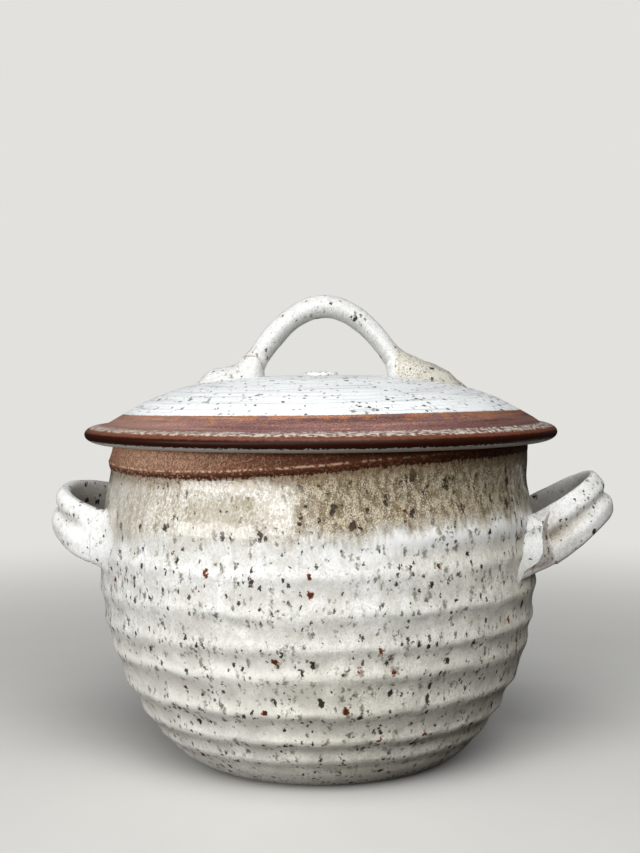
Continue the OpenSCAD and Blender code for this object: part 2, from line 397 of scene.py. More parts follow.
# %% The lid's outline
lid_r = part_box("lid")[1].x / MM
apex_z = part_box("lid")[1].z / MM
seat_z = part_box("lid")[0].z / MM
brim_t = 8.5
nose_l = 8
lip_r = lid_r - nose_l
slope_l = 27.4
shoulder_r = lid_r - slope_l
shoulder_drop = 12.5
dome_power = 3.2
lid_t = 7
ring_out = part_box("lid_locating_ring")[1].x / MM
ring_t = 5.8
ring_in = ring_out - ring_t
hollow_lean = 3.5
hang_left = 0.85
off_right = 0.6
turning_waves = 9
turning_deep = 0.34


def lid_line(r):
    """Height of the lid's top at radius r, before the marks of turning."""
    dome = apex_z - shoulder_drop * (r / shoulder_r) ** dome_power
    share = (r - shoulder_r) / (lip_r - shoulder_r)
    brim = apex_z - shoulder_drop + (seat_z + brim_t - apex_z + shoulder_drop) * share
    return np.where(r <= shoulder_r, dome, brim)


def turning_marks(r, turn):
    """Fine lines left by the turning tool, strongest on the slope of the dome."""
    dice = np.random.default_rng(21)
    lengths = dice.uniform(1.8, 7.5, turning_waves)
    shifts = dice.uniform(0, 2 * math.pi, turning_waves)
    wobble = 0.4 * drift(turn, 22)
    waves = sum(np.sin(2 * math.pi * r / w + s + wobble) for w, s in zip(lengths, shifts))
    zone = ease(r, 12, 30) * (1 - ease(r, 91, 97))
    return (turning_deep * waves / turning_waves - sunk) * zone


def lid_top(r, turn):
    hang = hang_left * np.cos(turn) * ease(r, 62, 88) * (1 - ease(r, 103, lip_r + 1))
    uneven = 0.2 * drift(turn + r / 40, 23, 2, 5) * ease(r, 20, 60) - sunk
    return lid_line(r) + hang + turning_marks(r, turn) + uneven * (1 - ease(r, 104, lip_r))


print("lid", round(2 * lid_r, 1), "mm across, top at", round(apex_z, 1))

# %% Turn the lid
DOME_ROWS = 168
BRIM_ROWS = 46
seat_gap = 0.05
seat_rows = (106, 100, 95, 90, ring_in + 1)
dome_r = np.linspace(4, shoulder_r, DOME_ROWS)
brim_r = np.linspace(shoulder_r, lip_r, BRIM_ROWS)
top_r = np.concatenate([dome_r, brim_r[1:]])
nose_arc = np.linspace(math.pi / 2, -math.pi / 2, 19)[1:]
hollow_r = np.linspace(ring_in - hollow_lean, 8, 40)

off = off_right * np.cos(turn)
rows = [(r + off * ease(r, 20, 60), lid_top(np.full(TURNS, r), turn)) for r in top_r]
long = nose_l + 0.12 * drift(turn, 25, 2, 6) - 0.4
for a in nose_arc:
    rows.append((lip_r + off + long * math.cos(a), seat_z + seat_gap + brim_t / 2 * (1 + math.sin(a))))
rows += [(r, seat_z + seat_gap) for r in seat_rows]
rows += [(ring_in - 0.4, seat_z + 1.2), (ring_in - 1.6, seat_z + 5)]
for r in hollow_r:
    marks = 0.25 * np.sin(2 * math.pi * r / 6 + turn) * ease(r, 8, 20) * (1 - ease(r, 70, 80))
    rows.append((r, lid_line(np.array(r)) - lid_t + marks))
lid = skin("lid_dome", turned(rows))

# %% The ring under the lid
ring_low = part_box("lid_locating_ring")[0].z / MM
ring_round = 1.8
ring_root = seat_z + 0.4
ring_arc = np.linspace(0.2, math.pi / 2, 6)
less_cos, less_sin = ring_round * (1 - np.cos(ring_arc)), ring_round * (1 - np.sin(ring_arc))
ring_rows = [(ring_in, ring_root), (ring_in, seat_z - 3), (ring_in + 0.2, ring_low + 4)]
ring_rows += list(zip(ring_in + less_cos, ring_low + less_sin))
ring_rows += list(zip(ring_out - less_sin, ring_low + less_cos))
ring_rows += [(ring_out - 0.2, seat_z - 4), (ring_out, ring_root)]
ring_rows = [(r + 0.15 * drift(turn, 31, 2, 6) - 0.1, z) for r, z in ring_rows]
locating_ring = skin("locating_ring", turned(ring_rows), joined=True, sharp=60)

# %% [markdown]
# ## The side handles
#
# Each was pulled from a lump of clay into a strap with two rolls and a valley between them, bent into a
# loop and pressed onto the wall. The loop is nearly half an ellipse, in a plane that slopes up, and the
# left one is shorter and hangs a little lower in front. A section is swept along it, square to its run and
# leaning back. Both ends level off and run on into the wall, point by point, so that they stop 2.5 mm deep
# whatever the slant: nothing pokes through to the inside. The left handle is worked out on the right and
# then mirrored, so each loop knows on which side it belongs and asks for the wall there.

# %% The loops and the section of a strap
lug_half_span = 30
lug_end = math.radians(77)
strap_w = 23
strap_t = 10
strap_valley = 2.7
valley_w = 0.13 * strap_w
root_swell = 0.14
SIDES = 72
PAST = 10
around = np.linspace(0, 2 * math.pi, SIDES, endpoint=False)
Loop = namedtuple("Loop", "side start out across lean rise straight tip fade")


def loop_of(side, drop, slope, reach, roll, lean, rise, straight, tip, fade):
    """Loop that starts drop under the rim. Its valley lies rise above the strap's middle and fades out at
    the roots, or doesn't; above it the strap tips back. Past the end of the loop it slopes on straight."""
    slope, roll = math.radians(slope), math.radians(roll)
    z = pot_h - drop
    start = np.array([math.sqrt(float(wall_r(np.array(z))) ** 2 - lug_half_span ** 2), 0, z])
    out = reach * np.array([math.cos(slope), 0, math.sin(slope)])
    across = lug_half_span * np.array([0, 1, math.tan(roll)])
    return Loop(side, start, out, across, math.radians(lean), rise, straight, tip, fade)


RIGHT = loop_of(1, drop=49, slope=32, reach=42.5, roll=0, lean=19, rise=0, straight=6, tip=0.25, fade=0)
LEFT = loop_of(-1, drop=41.5, slope=20, reach=27, roll=7, lean=8, rise=1.3, straight=2, tip=0.06, fade=1)


def unit(v):
    return v / np.linalg.norm(v)


def levelled(d):
    """The nearly level way in which a strap goes into the wall."""
    return unit(d * np.array([1, 1, 0.2]))


def valley_share(loop):
    """How far a place on the section lies in the valley: 1 on its bottom."""
    return bump(strap_w / 2 * np.sin(around), loop.rise, valley_w) * np.clip(np.cos(around), 0, None) ** 0.5


def strap_section(loop, along):
    """Places (outward, upward) on the strap's section."""
    c, s = np.cos(around), np.sin(around)
    up = strap_w / 2 * s
    front, back = np.clip(c, 0, None), np.clip(-c, 0, None)
    valley = strap_valley * valley_share(loop) * (1 - loop.fade * ease(abs(along), 0.72, 1.0))
    tipped = loop.tip * np.clip(up - loop.rise, 0, None) * front ** 0.3
    out = np.where(c > 0, strap_t / 2 * front ** 0.6 - valley - tipped, -0.9 * strap_t / 2 * back ** 0.6)
    return np.stack([out, up], -1)


inner_side = np.clip(-np.cos(around), 0, None) ** 0.7
section_away = np.stack([np.cos(around) / strap_t, np.sin(around) / strap_w], -1)
section_away /= np.linalg.norm(section_away, axis=1, keepdims=True)


def loop_frame(loop, along):
    """Point and directions; along runs from -1 to 1, and past that on to the wall, 10 mm for each 1."""
    t = lug_end * np.clip(along, -1, 1)
    p = loop.start + loop.out * math.cos(t) + loop.across * math.sin(t)
    d = unit(loop.across * math.cos(t) - loop.out * math.sin(t))
    past = PAST * (along - np.clip(along, -1, 1))
    sloping = np.clip(past, -loop.straight, loop.straight)
    p = p + d * sloping + levelled(d) * (past - sloping)
    n = unit(np.cross(d, [-math.sin(loop.lean), 0, math.cos(loop.lean)]))
    return p, d, n, np.cross(n, d)


def strap_ring(loop, along, grow=0.0):
    """One ring of the strap, grown outward by grow (one number, or one for each point)."""
    p, d, n, w = loop_frame(loop, along)
    swell = 1 + root_swell * min(abs(along), 1) ** 2
    flat = strap_section(loop, along) * swell + section_away * np.broadcast_to(grow, (SIDES,))[:, None]
    return p + flat[:, :1] * n + flat[:, 1:] * w


def root_run(loop, end):
    """The ring where the strap stops sloping, and its way from there into the wall."""
    return strap_ring(loop, end * (1 + loop.straight / PAST)), end * levelled(loop_frame(loop, end)[1])


def wall_at(loop, z, angle):
    """Radius of the pot's outside where the loop will be, on the left after mirroring."""
    return outside_r(z, angle if loop.side > 0 else math.pi - angle)[0]


def slid(points, way, back, is_out, onward=40.0, halvings=40):
    """Each point moved along way to where is_out turns false, found by halving a stretch of it."""
    low, high = np.full(len(points), -back), np.full(len(points), onward)
    for _ in range(halvings):
        middle = (low + high) / 2
        out = is_out(points + middle[:, None] * way)
        low, high = np.where(out, middle, low), np.where(out, high, middle)
    return points + middle[:, None] * way


def into_wall(loop, points, way, depth):
    """Each point moved along way until it lies depth under the pot's outside."""
    def is_out(at):
        angle = np.arctan2(at[:, 1], at[:, 0])
        return np.hypot(at[:, 0], at[:, 1]) > wall_at(loop, at[:, 2], angle) - depth
    return slid(points, way, 30.0, is_out)


def placed(loop, rings):
    """Rings worked out on the right, mirrored if the loop belongs on the left."""
    return rings * np.array([loop.side, 1, 1])


print("loops start at", RIGHT.start.round(1), LEFT.start.round(1))

# %% [markdown]
# Besides its rings, a strap takes two marks along for the glaze: `under` is 1 on the inner side of the
# loop, where the glaze gets painted shade, and `valley` says how much glaze pooled between the two rolls
# and towards the roots, where it also gets painted shade.

# %% Sweep the straps
STRAP_RINGS = 130
ROOT_STEPS = (0, 0.25, 0.5, 0.75, 1.0)
root_deep = 2.5


def pooled_glaze_and_shade(loop, near_root):
    """Share of gathered glaze and painted shade; near_root is 0 at the tip of the loop and 1 at its roots.
    """
    share = valley_share(loop) * (0.3 + 0.7 * ease(near_root, 0.3, 0.9)) + 0.4 * ease(near_root, 0.78, 1.0)
    return share * (1 - loop.fade * ease(near_root, 0.5, 0.9))


def strap(name, loop, seed):
    along = np.linspace(-1, 1, STRAP_RINGS)
    rings = [strap_ring(loop, s) for s in along]
    for end in (-1, 1):
        root, way = root_run(loop, end)
        stop = into_wall(loop, root, way, root_deep)
        extra = [root + (stop - root) * k for k in ROOT_STEPS]
        rings = rings + extra if end == 1 else extra[::-1] + rings
    rings = np.array(rings)
    middle = rings.mean(1, keepdims=True)
    pulled = 0.1 * np.sin(9 * around + 2 * lumps(middle, 60, seed)) * np.abs(np.cos(around)) ** 0.3
    shrink = 0.35 * lumps(rings, 22, seed + 1) + 0.15 * lumps(rings, 9, seed + 2) - 0.35 + pulled
    away = rings - middle
    rings = rings + away / np.linalg.norm(away, axis=2, keepdims=True) * shrink[..., None]
    near_root = np.pad(np.abs(along), len(ROOT_STEPS), constant_values=1)[:, None]
    under = np.broadcast_to(inner_side, rings.shape[:2])
    return skin(name, placed(loop, rings), under=under, valley=pooled_glaze_and_shade(loop, near_root))


right_strap = strap("right_strap", RIGHT, 41)
left_strap = strap("left_strap", LEFT, 51)

# %% [markdown]
# ## The pads at the roots
#
# Where a strap meets the wall, the potter wraps and smears extra clay. Each pad is a sleeve: its first
# ring lies on the wall round the root, just under the surface, and it climbs to a ridge on the strap and
# dips into it. The climb is a curve with three points. If the middle one lies in the corner, the clay is a
# smooth fillet, and if it lies halfway, a flat face.
#
# The right-hand front pad is different: a thumb pushed the clay into a wedge that stands in front of the
# strap, with a jagged right edge and a tail that runs down to the left. Its border and its ridge are listed
# one by one, along the wall, up it and off it, at a few angles round the strap.

# %% One sleeve for every root
CLIMB = np.concatenate([np.linspace(0, 0.92, 18), [0.95, 0.975, 0.988, 1]])
FALL = np.array([0.06, 0.2, 0.36, 0.52, 0.68, 0.84, 1])
pad_deep = 3.0
pad_dip = -0.7
border_lift = -0.45
core_share = 0.4
# How much dust and painted shade the dip behind a pad's ridge gets: that dip lies in shade.
side_dust_and_shade, arch_dust_and_shade = 0.7, 0.05


def sleeve(border, corner, ridge, dip, deep, core, fillet):
    """Rings from inside the wall, over the climb and the ridge, to inside the handle, with their marks."""
    fillet = np.broadcast_to(fillet, (len(border),))[:, None]
    middle = (border + ridge) / 2 * (1 - fillet) + corner * fillet
    climb = [border * (1 - s) ** 2 + middle * 2 * s * (1 - s) + ridge * s * s for s in CLIMB]
    return shut(climb, ridge, dip, deep, core, side_dust_and_shade)


def shut(climb, ridge, dip, deep, core, dust):
    """Sleeve from a climb, with two marks: 1 on the ridge and dust and painted shade behind it, 1 at the
    wall.
    """
    fall = [ridge + (dip - ridge) * s for s in FALL]
    rings = np.array([deep] + list(climb) + fall + [core])
    # Behind the ridge the edge mark carries dust and painted shade.
    behind = np.where(FALL < 0.1, 0.6, dust * np.sin(math.pi * FALL))
    edge = np.concatenate([[0], CLIMB > 0.995, behind, [0]])
    root = np.concatenate([[1], 1 - CLIMB, 0 * FALL, [0]])
    return rings, np.repeat(edge[:, None], SIDES, 1), np.repeat(root[:, None], SIDES, 1)


def on_wall(loop, angle, z, lift):
    """Points on the pot's outside, lifted off it by lift."""
    r = wall_at(loop, z, angle) + lift
    return np.stack([r * np.cos(angle), r * np.sin(angle), z], -1)


def facing(angle, width):
    """1 for section points near an angle (0 faces out of the loop, 90 up), falling to 0 a width away."""
    gap = np.angle(np.exp(1j * (around - math.radians(angle))))
    return np.exp(-((gap / math.radians(width)) ** 2))


def root_pad(name, loop, end, spread, proud, ridge_at, dip_at, fillet, seed, wedge=None, lump=0.35):
    """Pad round one root: ridge_at and dip_at say how far along the strap its ridge and its far end lie."""
    root, way = root_run(loop, end)
    corner = into_wall(loop, root, way, 0.0)
    angle = np.arctan2(corner[:, 1], corner[:, 0]) + end * spread * section_away[:, 0] / belly_r
    z = corner[:, 2] + spread * section_away[:, 1]
    at = np.broadcast_to(ridge_at, (SIDES,)) + 0.05 * lumps(corner, 7, seed + 5) * np.minimum(proud, 1)
    ridge = np.array([strap_ring(loop, end * a, proud)[i] for i, a in enumerate(at)])
    far = np.broadcast_to(dip_at, (SIDES,))
    dip = np.array([strap_ring(loop, end * a, pad_dip)[i] for i, a in enumerate(far)])
    if wedge:
        share, border_angle, border_z, crest = wedge
        angle = angle + (border_angle - angle) * share
        z = z + (border_z - z) * share
        ridge = ridge + (crest - ridge) * share[:, None]
    border = on_wall(loop, angle, z, border_lift)
    core = dip.mean(0) + (dip - dip.mean(0)) * core_share
    deep = into_wall(loop, root, way, pad_deep)
    rings, edge, near = sleeve(border, corner, ridge, dip, deep, core, fillet)
    rise = np.concatenate([[0], np.sin(math.pi * CLIMB ** 0.8), 0 * FALL, [0]])[:, None]
    tool = np.concatenate([[0], 0 * CLIMB, np.sin(math.pi * FALL), [0]])[:, None]
    away = rings - (rings.mean(1, keepdims=True) - way * 6)
    away = away / np.linalg.norm(away, axis=2, keepdims=True)
    lumpy = lump * (lumps(rings, 13, seed) + 0.5 * lumps(rings, 5, seed + 1))
    rings = rings + away * (lumpy * rise + 0.5 * lumps(rings, 4, seed + 2) * tool)[..., None]
    edge = edge * np.minimum(proud, 1.5) / 1.5
    return skin(name, placed(loop, rings), sharp=55, edge=edge, root=near)


print("sleeve of", len(CLIMB) + len(FALL) + 2, "rings")

# %% The clay of the three plain pads
degrees = np.degrees(np.angle(np.exp(1j * around)))
soft_spread = 6 + 3 * facing(0, 60)
soft_proud = np.full(SIDES, 0.25)
left_spread = 3 + 11 * facing(-8, 55) + 2 * facing(-62, 22)
left_proud = 0.2 + 0.6 * facing(-35, 35)
left_angles = [-180, -120, -90, -60, -30, 0, 30, 90, 180]
left_ridge = np.interp(degrees, left_angles, [1.2, 1.4, 1.45, 1.5, 1.3, 1.1, 1.05, 1, 1.2])
print("left front pad reaches", left_spread.max().round(1), "mm")

# %% The wedge
wedge_turn, wedge_z = -0.304, 104
wedge_angles = [-108, -92, -78, -65, -50, -30, 0, 30, 60, 85]
wedge_border = [(2, -10.5), (13, -11.5), (27, -16), (27.5, -11), (25, -6), (19, 0), (13, 6.5),
                (11, 12), (5, 17.5), (1, 18)]
wedge_ridge = [(5, -8, 2), (13, -9.5, 1), (23.5, -12, 0.5), (20, -8, 1.6), (12, -4.5, 5.2), (9, -0.3, 6.6),
               (8, 5.5, 7.4), (7.5, 11, 7.0), (6.5, 13.5, 6.2), (3, 14.5, 3)]
in_wedge = ease(degrees, -108, -92) * (1 - ease(degrees, 55, 90))
border_u, border_v = (np.interp(degrees, wedge_angles, column) for column in zip(*wedge_border))
ridge_u, ridge_v, lift = (np.interp(degrees, wedge_angles, column) for column in zip(*wedge_ridge))
jagged = 0.45 * lumps(np.outer(degrees, [0.3, 0.1, 0.2]), 3.0, 62)
crest = on_wall(RIGHT, wedge_turn - (ridge_u + jagged) / belly_r, wedge_z + ridge_v, lift)
wedge = (in_wedge, wedge_turn - border_u / belly_r, wedge_z + border_v, crest)
wedge_spread = 3 + 3 * facing(0, 60)
wedge_proud = 0.3 + 2.5 * facing(-15, 55)
dip_angles = [-180, -120, -90, -60, -30, 0, 30, 60, 90, 180]
wedge_dip = np.interp(degrees, dip_angles, [1.1, 1.3, 1.55, 1.6, 1.5, 1.25, 1.0, 0.9, 0.95, 1.1])
wedge_fillet = 0.75 * (1 - in_wedge) + 0.05
print("wedge stands", lift.max(), "mm off the wall")

# %% Press on the four pads
smooth = 0.8
left_fall = 0.13
right_front_pad = root_pad("right_front_pad", RIGHT, -1, wedge_spread, wedge_proud, ridge_at=1.35,
                           dip_at=wedge_dip, fillet=wedge_fillet, seed=61, wedge=wedge, lump=0.2)
right_back_pad = root_pad("right_back_pad", RIGHT, 1, soft_spread, soft_proud, ridge_at=1.2,
                          dip_at=0.95, fillet=smooth, seed=71)
left_front_pad = root_pad("left_front_pad", LEFT, -1, left_spread, left_proud, ridge_at=left_ridge,
                          dip_at=left_ridge - left_fall, fillet=smooth, seed=81)
left_back_pad = root_pad("left_back_pad", LEFT, 1, soft_spread, soft_proud, ridge_at=1.0,
                         dip_at=0.8, fillet=smooth, seed=91)

# %% [markdown]
# ## The arch on the lid
#
# The lid's handle is a pulled rod, a little wider than thick, bent into a steep arch. It is swept along a
# parabola, and its feet run on into the dome. A pad of clay wraps each foot: the left one is a thick slab
# with a blunt end and a fine crack where it meets the rod, and the right one slopes away.

# %% Sweep the arch
ARCH_RINGS = 110
arch_shift = 2.8
arch_half_span = 35
arch_t = 11.4
arch_w = 14
arch_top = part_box("lid_handle")[1].z / MM - arch_t / 2
arch_drop = 27.9


def arch_frame(q):
    """Point, run and upper side; q runs from -1 to 1, and past that straight on, 10 mm for each 1."""
    c = np.clip(q, -1, 1)
    p = np.array([arch_shift + arch_half_span * c, 0, arch_top - arch_drop * c * c])
    d = unit(np.array([arch_half_span, 0, -2 * arch_drop * c]))
    return p + d * PAST * (q - c), d, np.cross(d, [0, 1, 0])


def arch_ring(q, grow=0.0):
    p, _, n = arch_frame(q)
    slim = 1 - 0.12 * ease(q, 0.35, 1.0)
    thick = slim * arch_t / 2 + np.broadcast_to(grow, (SIDES,))
    wide = arch_w / 2 + np.broadcast_to(grow, (SIDES,))
    side = (wide * np.sin(around))[:, None] * np.array([0, 1, 0])
    return p + (thick * np.cos(around))[:, None] * n + side


def onto_lid(points, way, depth):
    """Each point moved along way until it lies depth under the top of the lid."""
    def is_out(at):
        return at[:, 2] > lid_line(np.hypot(at[:, 0], at[:, 1])) - depth
    return slid(points, way, 20.0, is_out)


rings = [arch_ring(q) for q in np.linspace(-1, 1, ARCH_RINGS)]
for end in (-1, 1):
    root = arch_ring(end)
    stop = onto_lid(root, end * arch_frame(end)[1], root_deep)
    extra = [root + (stop - root) * k for k in ROOT_STEPS[1:]]
    rings = rings + extra if end == 1 else extra[::-1] + rings
rings = np.array(rings)
away = rings - rings.mean(1, keepdims=True)
shrink = 0.3 * lumps(rings, 26, 101) + 0.12 * lumps(rings, 8, 102) - 0.2
rings = rings + away / np.linalg.norm(away, axis=2, keepdims=True) * shrink[..., None]
arch = skin("lid_arch", rings, under=np.broadcast_to(inner_side, rings.shape[:2]))

# %% [markdown]
# The pads of the arch follow a profile instead of a plain curve: from the border (0) to the rod (1) it
# gives the height over the lid as a share of the height of the ridge. The left profile rises steeply to a
# flat back, and the right one climbs slowly. Towards the sides both go over to a low fillet.

# %% A pad for a foot of the arch
arch_fall = 0.12
outer_side = facing(0, 62)
sides = facing(90, 45) + facing(-90, 45)


def foot_pad(name, end, spread, ridge_at, profile, seed, line):
    """Pad round one foot of the arch: spread is its reach over the lid, line how much of a seam shows."""
    root = arch_ring(end)
    way = end * arch_frame(end)[1]
    corner = onto_lid(root, way, 0.0)
    border = corner[:, :2] + spread[:, None] * np.stack([np.cos(around) * end, np.sin(around)], -1)
    ridge = np.array([arch_ring(end * a, 0.4)[i] for i, a in enumerate(ridge_at)])
    dip = np.array([arch_ring(end * (a - arch_fall), pad_dip)[i] for i, a in enumerate(ridge_at)])
    high = ridge[:, 2] - lid_line(np.hypot(ridge[:, 0], ridge[:, 1]))
    climb = []
    for s, share in zip(CLIMB, np.interp(CLIMB, *zip(*profile))):
        flat = border + (ridge[:, :2] - border) * s
        height = high * (share * outer_side + s ** 2.5 * (1 - outer_side)) - 0.7 * (1 - s) ** 3
        climb.append(np.column_stack([flat, lid_line(np.hypot(flat[:, 0], flat[:, 1])) + height]))
    core = dip.mean(0) + (dip - dip.mean(0)) * core_share
    rings, edge, _ = shut(climb, ridge, dip, onto_lid(root, way, pad_deep), core, arch_dust_and_shade)
    rise = np.concatenate([[0], np.abs(np.sin(math.pi * CLIMB)) ** 0.5, 0 * FALL, [0]])[:, None]
    rings[..., 2] += rise * (0.35 * lumps(rings, 12, seed) + 0.25 * lumps(rings, 4.5, seed + 1))
    return skin(name, rings, sharp=50, edge=edge * line)


print("arch feet at", arch_shift - arch_half_span, "and", arch_shift + arch_half_span, "mm")

# %% Press on the two pads of the arch
slab = [(0, 0), (0.12, 0.2), (0.24, 0.46), (0.36, 0.57), (0.75, 0.61), (0.88, 0.72), (1, 1)]
slope = [(0, 0), (0.12, 0.1), (0.22, 0.24), (0.32, 0.42), (0.55, 0.6), (0.75, 0.73), (0.9, 0.84), (1, 1)]
slab_spread = 2.5 + 15.5 * outer_side + 2.5 * sides
slope_spread = 2 + 25 * outer_side + 2.5 * sides
arch_left_pad = foot_pad("arch_left_pad", -1, slab_spread, ridge_at=1.0 - 0.055 * sides,
                         profile=slab, seed=111, line=1.0)
arch_right_pad = foot_pad("arch_right_pad", 1, slope_spread, ridge_at=1.0 - 0.08 * outer_side,
                          profile=slope, seed=121, line=0.2)

# %% [markdown]
# ## The button
#
# A flattened dab of clay in the middle of the lid, ragged at its rim. It is a small lid-shaped skin whose
# outline wanders and whose top is dented by a fingertip.

# %% Dab on the button
button_r = 10
button_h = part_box("lid_button")[1].z / MM - apex_z
button_off = 0.5
dent = 0.22
few_turns = np.linspace(0, 2 * math.pi, 96, endpoint=False)
ragged_r = button_r * (0.9 + 0.08 * drift(few_turns, 131, 2, 9))
shares = np.array([0.2, 0.5, 0.75, 0.88, 0.95, 0.99, 1.0])
heights = np.array([0.8, 0.86, 0.95, 0.98, 0.8, 0.45, -0.3])[:, None]
button_rings = turned([(ragged_r * share, 0) for share in shares], few_turns)
dents = dent * np.minimum(lumps(button_rings, 5, 132), 0) * (heights > 0)
button_rings[..., 0] += button_off
button_rings[..., 2] = apex_z + button_h * heights + dents
low_ring = button_rings[-1:] * np.array([0.9, 0.9, 1]) - np.array([0, 0, 1.0])
button = skin("clay_button", np.concatenate([button_rings, low_ring]), sharp=60)

# %% [markdown]
# ## Writing glaze as sums
#
# Glaze is layers: a body colour, stains that follow height or radius, runs, specks. Written as node links
# that would be hard to read, so one small class wraps a socket: adding or multiplying wires adds the Math
# node for it. Colours and vectors go through Mix and Vector Math instead, because Math would turn a
# colour grey. Any other node is made by `Wire.node`.

# %% The wire class
class Wire:
    """A socket of the material that is being wired. Arithmetic on it adds Math nodes."""

    tree = None

    def __init__(self, socket):
        self.socket = socket

    @classmethod
    def node(cls, kind, settings=None, sockets=None, output=0):
        made = cls.tree.nodes.new("ShaderNode" + kind)
        for key, value in (settings or {}).items():
            setattr(made, key, value)
        for key, value in (sockets or {}).items():
            cls.plug(made.inputs[key], value)
        return cls(made.outputs[output]) if made.outputs else None

    @classmethod
    def plug(cls, target, value):
        if isinstance(value, Wire):
            cls.tree.links.new(value.socket, target)
        else:
            target.default_value = value

    def other(self, output):
        return Wire(self.socket.node.outputs[output])

    def math(self, operation, other=None, flip=False):
        pair = (other, self) if flip else (self, other)
        sockets = {i: value for i, value in enumerate(pair) if value is not None}
        return Wire.node("Math", {"operation": operation}, sockets)

    def __add__(self, other):
        return self.math("ADD", other)

    def __sub__(self, other):
        return self.math("SUBTRACT", other)

    def __rsub__(self, other):
        return self.math("SUBTRACT", other, flip=True)

    def __mul__(self, other):
        return self.math("MULTIPLY", other)

    def __truediv__(self, other):
        return self.math("DIVIDE", other)

    def __lt__(self, other):
        return self.math("LESS_THAN", other)

    def step(self, low, high):
        """0 below low, 1 above high and smooth between; the other way round if low is above high."""
        ends = {"Value": self, "From Min": low, "From Max": high}
        return Wire.node("MapRange", {"interpolation_type": "SMOOTHSTEP"}, ends)

    def hill(self, middle, width):
        """1 at middle, 0 a width away on either side."""
        return (self - middle).math("ABSOLUTE").step(width, 0.0)

    def split(self):
        first = Wire.node("SeparateXYZ", {}, {"Vector": self})
        return first, first.other(1), first.other(2)

    __radd__ = __add__
    __rmul__ = __mul__


print("wire class ready")

# %% [markdown]
# With it come a few plain helpers. `blend` lets one colour go over to another, and `washed` looks through
# a thin wash. Most of a glaze is one thin coat over the next, so `coats` lays a row of tints on a colour,
# each with the share of it that shows. Tints are written as they look on a screen.

# %% Colours, clouds and marks
def vector(operation, a, b):
    return Wire.node("VectorMath", {"operation": operation}, {0: a, 1: b})


def blend(a, b, share, how="MIX"):
    """Colour a, going over to b as share goes from 0 to 1."""
    return Wire.node("Mix", {"data_type": "RGBA", "blend_type": how}, {0: share, 6: a, 7: b}, 2)


def washed(colour, wash, share):
    """The colour seen through a thin wash of another."""
    return blend(colour, wash, share, "MULTIPLY")


def tint(red, green, blue):
    """A colour as it looks on a screen, 0 to 255, in the linear form that shaders use."""
    parts = [c / 255 for c in (red, green, blue)]
    return tuple(c / 12.92 if c <= 0.04045 else ((c + 0.055) / 1.055) ** 2.4 for c in parts) + (1.0,)


def coats(colour, *layers):
    """The colour under thin coats, each a tint and the share of it that shows."""
    for shade, share in layers:
        colour = blend(colour, tint(*shade), share)
    return colour


def place():
    """Where a point lies on the object, in millimetres."""
    spot = Wire.node("TexCoord", output="Object")
    return vector("MULTIPLY", spot, (1 / MM,) * 3)


def cloud(spot, size, stretch=(1, 1, 1), detail=2.0):
    """Noise from 0 to 1 with patches about size across, drawn out by stretch."""
    squeezed = vector("MULTIPLY", spot, tuple(1 / (size * s) for s in stretch))
    return Wire.node("TexNoise", {}, {"Vector": squeezed, "Scale": 1.0, "Detail": detail})


def mark(name):
    """A number that the mesh carries at its points."""
    return Wire.node("Attribute", {"attribute_name": name}, {}, "Fac")


print("mid grey is", round(tint(128, 128, 128)[0], 3), "to a shader")

# %% [markdown]
# ## Iron specks
#
# Bits of iron in the clay melt through the glaze as dark dots, drawn out downwards. A Voronoi pattern
# gives every cell one point: the distance to it makes a dot, and the cell's random colour says whether
# that cell has a dot at all, how large it is and how rusty. The points lie in space, so only those close
# to the surface show, and the cells must be small. Shaking the coordinates with fine noise first makes
# the dots ragged, and a slow noise lets them crowd together in places.

# %% Specks
SHAKE = 1.9
IRON = tint(26, 20, 15)
BROWN = tint(60, 41, 27)
OLIVE = tint(120, 117, 98)
DUST = tint(150, 146, 134)
RUST = tint(146, 76, 26)
BURNT = tint(58, 28, 16)


def specks(spot, cell, size, share, tall, shift):
    """Ragged dots up to size in radius, from 0 at their edge to 1, and a random number for each."""
    shaken = Wire.node("TexNoise", {}, {"Vector": spot, "Scale": 1.1 / size, "Detail": 2.0}, "Color")
    centred = vector("SUBTRACT", shaken, (0.5, 0.5, 0.5))
    reach = SHAKE * size
    moved = vector("ADD", spot, vector("MULTIPLY", centred, (reach, reach, reach * tall)))
    squeezed = vector("MULTIPLY", moved, (1 / cell, 1 / cell, 1 / (cell * tall)))
    near = Wire.node("TexVoronoi", {}, {"Vector": vector("ADD", squeezed, (shift,) * 3), "Scale": 1.0})
    has, large, tone = near.other("Color").split()
    radius = (0.4 + 0.6 * large) * size
    return (1 - near * cell / radius) * (has < share), tone


